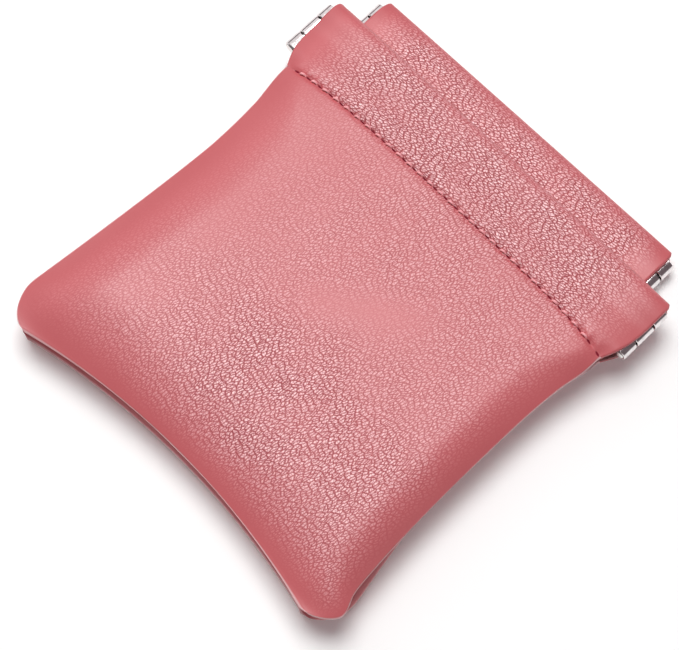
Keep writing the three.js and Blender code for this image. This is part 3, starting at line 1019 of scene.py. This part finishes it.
def needle_holes():
    """Group: place on the hide in millimetres and pitch in; a mask that is 1 in each hole out, from
    the square of the distance to the nearest hole, x^2 / a^2 + y^2 / b^2."""
    tree, source, result = new_group("needle holes", {"Place": None, "Pitch": 2.8}, ["Mask"])
    parts = add_node(tree, "ShaderNodeSeparateXYZ", {0: source.outputs["Place"]}).outputs
    pitch = source.outputs["Pitch"]
    step = math_node(tree, "DIVIDE", parts["X"], pitch)
    from_hole = times(tree, math_node(tree, "PINGPONG", step, 0.5), pitch)
    along = math_node(tree, "DIVIDE", from_hole, HOLE_HALF_LENGTH)
    across = math_node(tree, "DIVIDE", parts["Y"], HOLE_HALF_WIDTH)
    square = math_node(tree, "MULTIPLY_ADD", across, across, times(tree, along, along))
    feed(tree, result, {"Mask": ramp_between(tree, square, 0.35, 1.3, 1.0, 0.0)})
    return tree


holes_group = needle_holes()
print("group:", holes_group.name)

# %% [markdown]
# ## The leather
# One material serves the whole sheet: grain on the outside, a paler cut edge that also takes a
# painted highlight where its rim catches the light, and the matt flesh side inside the pocket. It is
# dyed a dusty rose, with a pale painted sheen on the pebble tops, painted shade deep in the creases,
# and painted shade that deepens the rose towards the sewn edges and the fold, where the leather
# turns away from the light. The wrinkles run lengthways on the pocket, and across it on the hem.

# %% Leather material
ROSE = (0.62, 0.142, 0.155, 1)
# Painted sheen: the pale rose that the pebble tops are mixed towards.
PAINTED_TOP_SHEEN = (1.0, 0.68, 0.70, 1)
# Random mottling and painted shade towards the sewn edges and the fold share this deeper rose.
ROSE_MOTTLE_AND_EDGE_SHADE = (0.54, 0.112, 0.122, 1)
# Painted shade: the dark rose that the creases are mixed towards.
PAINTED_CREASE_SHADE = (0.29, 0.030, 0.040, 1)
# The cut edge's paler rose, partly its own colour and partly a painted highlight on the rim.
EDGE_ROSE_AND_RIM_HIGHLIGHT = (0.86, 0.58, 0.58, 1)
FLESH_ROSE = (0.42, 0.19, 0.19, 1)
# Painted shade: the dark maroon inside the needle holes.
HOLE_SHADE_RED = (0.22, 0.006, 0.022, 1)
TOP_SHEEN_SHARE = 0.9
CREASE_SHADE_SHARE = 0.85
PEBBLE_SIZE = 0.5
POCKET_FLOW = math.radians(75)
HEM_FLOW = math.radians(15)
GRAIN_DEPTH = 0.02 * MM
HOLE_DEPTH_SHARE = 0.8
TOP_ROUGHNESS = 0.41
CREASE_ROUGHNESS = 0.75
FLESH_ROUGHNESS = 0.85
LEATHER_SHEEN = 0.56


def new_material(name):
    """A material with an empty tree, a Principled BSDF and its output."""
    material = bpy.data.materials.new(name)
    material.use_nodes = True
    tree = material.node_tree
    tree.nodes.clear()
    shader = tree.nodes.new("ShaderNodeBsdfPrincipled")
    add_node(tree, "ShaderNodeOutputMaterial", {"Surface": shader.outputs[0]})
    return material, tree, shader


def mix_colour(tree, share, first, second):
    """Mixes two colours by a share; gives the colour socket."""
    inputs = {"Factor": share, 6: first, 7: second}
    return add_node(tree, "ShaderNodeMix", inputs, data_type="RGBA").outputs[2]


def read_share(tree, name):
    """A number that each vertex of a piece carries."""
    return add_node(tree, "ShaderNodeAttribute", attribute_name=name).outputs["Fac"]


def read_place(tree, name):
    """A vector that each vertex of a piece carries, in millimetres."""
    vector = add_node(tree, "ShaderNodeAttribute", attribute_name=name).outputs["Vector"]
    return vector_math(tree, "SCALE", {0: vector, "Scale": 1 / MM})


def dented(tree, height, strength, depth):
    """The normal of a surface that a height dents, down to a depth."""
    inputs = {"Strength": strength, "Distance": depth, "Height": height}
    return add_node(tree, "ShaderNodeBump", inputs).outputs["Normal"]


def leather_material():
    """Pebbles, creases, holes, cut edge and flesh side, all from the piece's own attributes."""
    material, tree, shader = new_material("rose leather")
    hide = read_place(tree, "hide")
    calm = ramp_between(tree, soft_noise(tree, hide, 0.12, 1.5), 0.35, 0.6, 0.8, 1.05)
    strength = times(tree, read_share(tree, "pebbles"), calm)
    from_row = add_node(tree, "ShaderNodeSeparateXYZ", {0: hide}).outputs["Y"]
    flow = ramp_between(tree, from_row, -0.1, 0.1, POCKET_FLOW, HEM_FLOW)
    grain = add_node(
        tree, "ShaderNodeGroup",
        {"Place": hide, "Cell size": PEBBLE_SIZE, "Flow": flow, "Strength": strength},
        node_tree=pebbles_group,
    ).outputs
    hole_inputs = {"Place": hide, "Pitch": PITCH / MM}
    hole = add_node(tree, "ShaderNodeGroup", hole_inputs, node_tree=holes_group).outputs["Mask"]

    mottled = ramp_between(tree, grain["Mottling"], 0.35, 0.65)
    # Painted shade: the rose deepens towards the sewn edges and the fold, where the leather turns away
    # from the light.
    painted_edge_shade = ramp_between(tree, read_share(tree, "inward"), 0.0, 0.8, 0.55, 0.0)
    inside = ramp_between(tree, read_share(tree, "flesh"), 0.55, 0.95)
    colour = ROSE
    for share, dye in (
        (math_node(tree, "MULTIPLY_ADD", mottled, 0.12, painted_edge_shade), ROSE_MOTTLE_AND_EDGE_SHADE),
        # painted sheen on the pebble tops
        (times(tree, grain["Top sheen"], TOP_SHEEN_SHARE, clamp=True), PAINTED_TOP_SHEEN),
        # painted shade in the creases
        (times(tree, grain["Creases"], CREASE_SHADE_SHARE, clamp=True), PAINTED_CREASE_SHADE),
        # painted shade in the needle holes
        (hole, HOLE_SHADE_RED),
        (inside, FLESH_ROSE),
        # paler cut edge, partly its own colour and partly a painted highlight on the rim
        (ramp_between(tree, read_share(tree, "cut_edge"), 0.35, 0.95, 0.0, 0.8), EDGE_ROSE_AND_RIM_HIGHLIGHT),
    ):
        colour = mix_colour(tree, share, colour, dye)
    rough = ramp_between(tree, grain["Creases"], 0.0, 1.0, TOP_ROUGHNESS, CREASE_ROUGHNESS)
    rough = math_node(tree, "MAXIMUM", rough, times(tree, inside, FLESH_ROUGHNESS))
    height = math_node(tree, "MULTIPLY_ADD", hole, -HOLE_DEPTH_SHARE, grain["Height"])
    feed(tree, shader, {
        "Base Color": colour,
        "Roughness": math_node(tree, "MAXIMUM", rough, hole),
        "Specular IOR Level": LEATHER_SHEEN,
        "Normal": dented(tree, height, 1.0, GRAIN_DEPTH),
    })
    return material


leather = leather_material()
for piece in leather_pieces.values():
    piece.data.materials.append(leather)
print("material:", leather.name)

# %% [markdown]
# ## Thread and steel
# The thread is three twisted plies, so a slanting wave runs round it, painted pale along each ply
# as a highlight and deep between them as shade. The steel is nickel plated: bright, with faint
# rolling marks along the strip.

# %% Thread and steel materials
# Painted shade between the plies and painted highlight along them.
THREAD_GROOVE_SHADE = (0.95, 0.24, 0.26, 1)
THREAD_PLY_HIGHLIGHT = (1.0, 0.56, 0.58, 1)
THREAD_ROUGHNESS = 0.42
PLY_SLANT = 3.7
PLY_TWIST = 9.0
PLY_DEPTH = 0.03 * MM
STRIP_TONE = (0.84, 0.79, 0.79, 1)
PIN_TONE = (0.80, 0.77, 0.75, 1)
TARNISH_SHARE = 0.82
MARK_SCALES = (400, 4000, 4000)
MARK_DEPTH = 0.005 * MM


def thread_material():
    """Twisted plies: a wave along the strand that slants with the turn round it. Its crests are a
    painted highlight and its grooves painted shade, with random fibre tone over both.
    """
    material, tree, shader = new_material("rose thread")
    strand = read_place(tree, "strand")
    parts = add_node(tree, "ShaderNodeSeparateXYZ", {0: strand}).outputs
    slant = math_node(tree, "MULTIPLY_ADD", parts["Y"], PLY_SLANT, times(tree, parts["X"], PLY_TWIST))
    ply = math_node(tree, "ABSOLUTE", math_node(tree, "SINE", slant))
    fibre = soft_noise(tree, strand, 6.0)
    # Painted highlight on the plies and painted shade between them, with random fibre tone.
    tone = math_node(tree, "MULTIPLY_ADD", fibre, 0.4, times(tree, ply, 0.7), clamp=True)
    feed(tree, shader, {
        "Base Color": mix_colour(tree, tone, THREAD_GROOVE_SHADE, THREAD_PLY_HIGHLIGHT),
        "Roughness": THREAD_ROUGHNESS,
        "Normal": dented(tree, ply, 0.5, PLY_DEPTH),
    })
    return material


def nickel_material(name, tone):
    """Bright nickel with faint rolling marks and a little tarnish."""
    material, tree, shader = new_material(name)
    place = add_node(tree, "ShaderNodeTexCoord").outputs["Object"]
    marks = add_node(tree, "ShaderNodeMapping", {"Vector": place, "Scale": MARK_SCALES}).outputs[0]
    rolling = soft_noise(tree, marks, 1.0, 3.0)
    tarnish = ramp_between(tree, soft_noise(tree, place, 700.0, 3.0), 0.35, 0.75)
    dull = tuple(TARNISH_SHARE * v for v in tone[:3]) + (1,)
    feed(tree, shader, {
        "Base Color": mix_colour(tree, tarnish, tone, dull),
        "Metallic": 1.0,
        "Roughness": ramp_between(tree, rolling, 0.3, 0.7, 0.11, 0.18),
        "Normal": dented(tree, rolling, 0.1, MARK_DEPTH),
    })
    return material


thread = thread_material()
strip_nickel = nickel_material("strip nickel", STRIP_TONE)
pin_nickel = nickel_material("pin nickel", PIN_TONE)
for pieces, finish in ((thread_pieces, thread), (steel_pieces, strip_nickel), (pin_pieces, pin_nickel)):
    for piece in pieces.values():
        piece.data.materials.append(finish)
print("materials:", [m.name for m in (thread, strip_nickel, pin_nickel)])

# %% [markdown]
# ## What moves with what
# Each piece stands for its CAD nodes, which are hidden. A strip and its stitches are tied to
# their lip, and each pin to the lip of its pocket's lower wall; the leather stays in place.

# %% Tie the pieces to the bodies
for name, wall in WALLS.items():
    for side in SIDES:
        lip = f"{name}_lip_{side}"
        sheet = leather_pieces[name, side]
        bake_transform(sheet)
        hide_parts(name, f"{name}_hem_{side}")
        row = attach(thread_pieces[name, side], lip)
        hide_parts(f"{name}_stitches_{side}")
        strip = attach(steel_pieces[name, side], lip)
        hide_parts(f"{name}_strip_{side}")
for label, lower in (("front", "front_divider"), ("rear", "back_wall")):
    for side in SIDES:
        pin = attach(pin_pieces[label, side], f"{lower}_lip_{side}")
        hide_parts(f"{label}_pin_{side}")

# %% [markdown]
# ## Table, light and camera
# The pouch lies on a white table under one broad soft lamp. The lamp stands near the place where a
# flat mirror would show it to the camera, so level leather gets a pale sheen and its sloping borders
# stay deep red. A weak lamp at the left lifts that border. The camera looks down at 71 degrees with
# the mouth to the upper right.

# %% Table
FLOOR_SIZE = 3.0
FLOOR_WHITE = (0.96, 0.98, 0.97, 1)
FLOOR_PALE = (0.94, 0.96, 0.95, 1)
FLOOR_GLOW = 0.11


def white_table():
    """A matt white floor that keeps the shadow and looks white to the camera and in reflections."""
    corners = np.array([[-1, -1, 0], [1, -1, 0], [1, 1, 0], [-1, 1, 0]]) * FLOOR_SIZE / 2
    floor = new_mesh("table", corners, [(0, 1, 2, 3)])
    material, tree, shader = new_material("white table")
    place = add_node(tree, "ShaderNodeTexCoord").outputs["Object"]
    white = mix_colour(tree, soft_noise(tree, place, 3.0), FLOOR_PALE, FLOOR_WHITE)
    path = tree.nodes.new("ShaderNodeLightPath")
    seen = math_node(tree, "MAXIMUM", path.outputs["Is Camera Ray"], path.outputs["Is Glossy Ray"])
    seen = math_node(tree, "MAXIMUM", seen, path.outputs["Is Transmission Ray"])
    feed(tree, shader, {
        "Base Color": white,
        "Roughness": 0.9,
        "Specular IOR Level": 0.0,
        "Emission Color": (1, 1, 1, 1),
        "Emission Strength": times(tree, seen, FLOOR_GLOW),
    })
    floor.data.materials.append(material)


white_table()
print("table:", FLOOR_SIZE, "m")

# %% Lamps and world
TARGET = np.array([2.51, -5.7, 6.0]) * MM
LAMP_DISTANCE = 1.1
WORLD_WHITE = (1, 1, 1, 1)
WORLD_DIM = (0.16, 0.125, 0.135, 1)
WORLD_EDGE = 0.16


def away_from(azimuth, elevation):
    """The unit vector from the pouch towards a place given by two angles in degrees."""
    a, e = math.radians(azimuth), math.radians(elevation)
    return np.array([math.sin(a) * math.cos(e), -math.cos(a) * math.cos(e), math.sin(e)])


def place_looking(thing, position, away):
    """Puts a lamp or camera at a place with its -Z axis along -away, upright."""
    right = np.cross([0, 0, 1], away)
    right = right / np.linalg.norm(right)
    matrix = np.eye(4)
    matrix[:3] = np.stack([right, np.cross(away, right), away, position], axis=1)
    thing.matrix_world = matrix.T.tolist()


def soft_lamp(name, azimuth, elevation, size, watts):
    """A square area lamp that faces the pouch from a direction given in degrees."""
    away = away_from(azimuth, elevation)
    data = bpy.data.lights.new(name, "AREA")
    data.shape = "SQUARE"
    data.size = size
    data.energy = watts
    lamp = add_object(name, data)
    place_looking(lamp, TARGET + away * LAMP_DISTANCE, away)


soft_lamp("key lamp", azimuth=234, elevation=78.5, size=0.56, watts=9.8)
soft_lamp("side lamp", azimuth=258, elevation=46, size=0.95, watts=2.2)


def studio_world():
    """A white cyclorama low down, and a dim room above it that gives the steel its dark bands."""
    world = bpy.data.worlds.new("studio")
    world.use_nodes = True
    tree = world.node_tree
    direction = add_node(tree, "ShaderNodeTexCoord").outputs["Generated"]
    height = add_node(tree, "ShaderNodeSeparateXYZ", {0: direction}).outputs["Z"]
    colour = mix_colour(tree, ramp_between(tree, height, 0.0, WORLD_EDGE), WORLD_WHITE, WORLD_DIM)
    feed(tree, tree.nodes["Background"], {"Color": colour})
    return world


bpy.context.scene.world = studio_world()
bpy.context.scene.view_settings.view_transform = "Standard"
print("lamps and world set")

# %% Camera
CAMERA_AZIMUTH = 45.44
CAMERA_ELEVATION = 70.9
CAMERA_DISTANCE = 486.8 * MM
LENS = 135
SENSOR_WIDTH = 36

camera_data = bpy.data.cameras.new("camera")
camera_data.lens = LENS
camera_data.sensor_width = SENSOR_WIDTH
camera = add_object("camera", camera_data)
away = away_from(CAMERA_AZIMUTH, CAMERA_ELEVATION)
place_looking(camera, TARGET + away * CAMERA_DISTANCE, away)
bpy.context.scene.camera = camera
print("camera at", [round(v, 3) for v in camera.matrix_world.translation])
